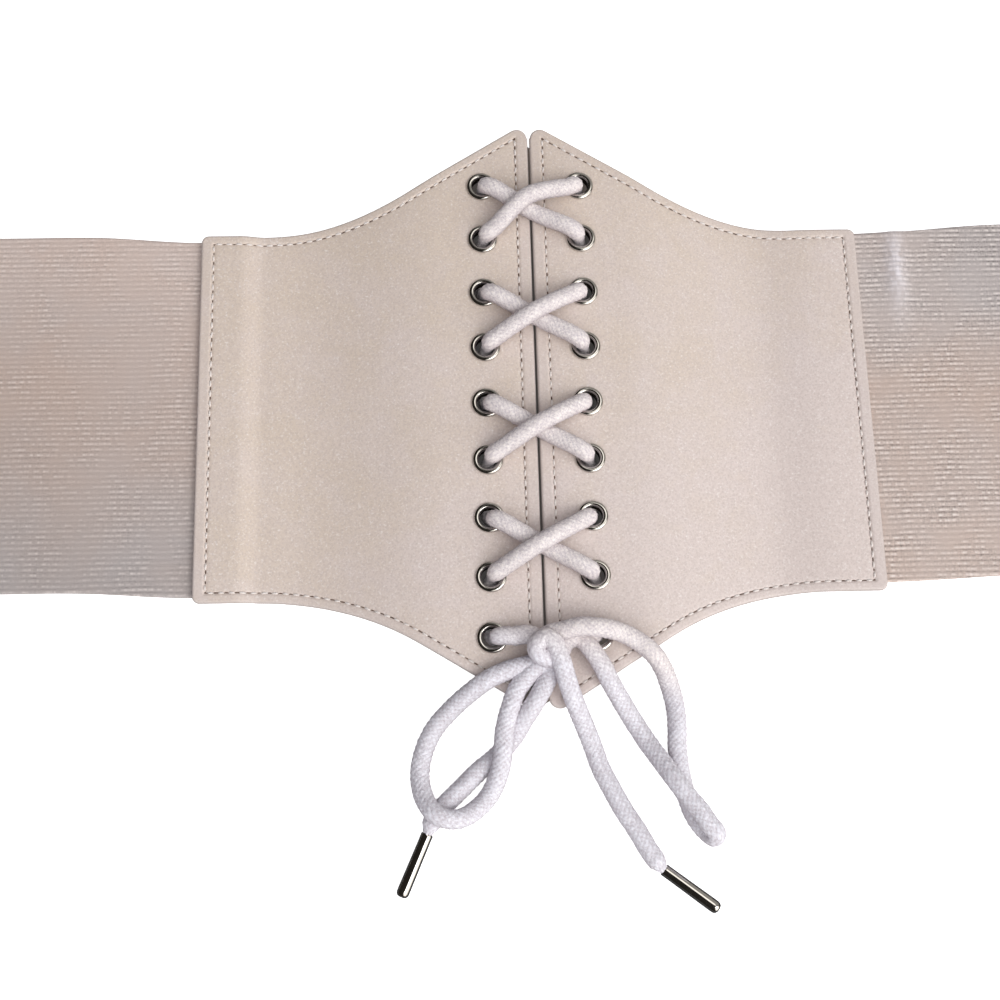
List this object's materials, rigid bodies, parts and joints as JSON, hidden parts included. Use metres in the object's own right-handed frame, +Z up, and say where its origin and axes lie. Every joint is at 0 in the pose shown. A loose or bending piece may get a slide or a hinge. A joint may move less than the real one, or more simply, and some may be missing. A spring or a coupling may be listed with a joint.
{
  "type": "corset belt",
  "caption": "Wide corset belt lying open: two shaped leather panels laced through metal eyelets with a tied cord, elastic side bands and end tabs with a hook-and-loop closure.",
  "frame": {"origin": "on the surface that the belt lies on, under the middle of the belt: half way along it and half way up its panels", "axes": "+X along the open belt to the wearer's left as seen from the front, +Y to the belt's top edge, +Z up out of its face"},
  "size_m": [0.66, 0.2678, 0.0239],
  "materials": {
    "leather": "pearl-finished pale beige leather, satin, with a fine grain",
    "elastic": "ribbed woven elastic, soft sheen",
    "nickel": "polished nickel",
    "cotton": "round braided white cotton, matte",
    "pile": "hook-and-loop pile, matte"
  },
  "bodies": {
    "root": {"panel_left": "leather", "panel_right": "leather", "elastic_left": "elastic", "elastic_right": "elastic", "end_tab_left": "leather", "end_tab_right": "leather", "closure_hook_strip": "pile", "closure_loop_strip": "pile", "eyelet_left_1": "nickel", "eyelet_left_2": "nickel", "eyelet_left_3": "nickel", "eyelet_left_4": "nickel", "eyelet_left_5": "nickel", "eyelet_left_6": "nickel", "eyelet_left_7": "nickel", "eyelet_left_8": "nickel", "eyelet_left_9": "nickel", "eyelet_right_1": "nickel", "eyelet_right_2": "nickel", "eyelet_right_3": "nickel", "eyelet_right_4": "nickel", "eyelet_right_5": "nickel", "eyelet_right_6": "nickel", "eyelet_right_7": "nickel", "eyelet_right_8": "nickel", "eyelet_right_9": "nickel", "lacing": "cotton", "bow_knot": "cotton", "strand_left": "cotton", "strand_right": "cotton", "loop_left": "cotton", "loop_right": "cotton", "lace_end_left": "cotton", "lace_end_right": "cotton", "aglet_left": "nickel", "aglet_right": "nickel"}
  },
  "joints": []
}
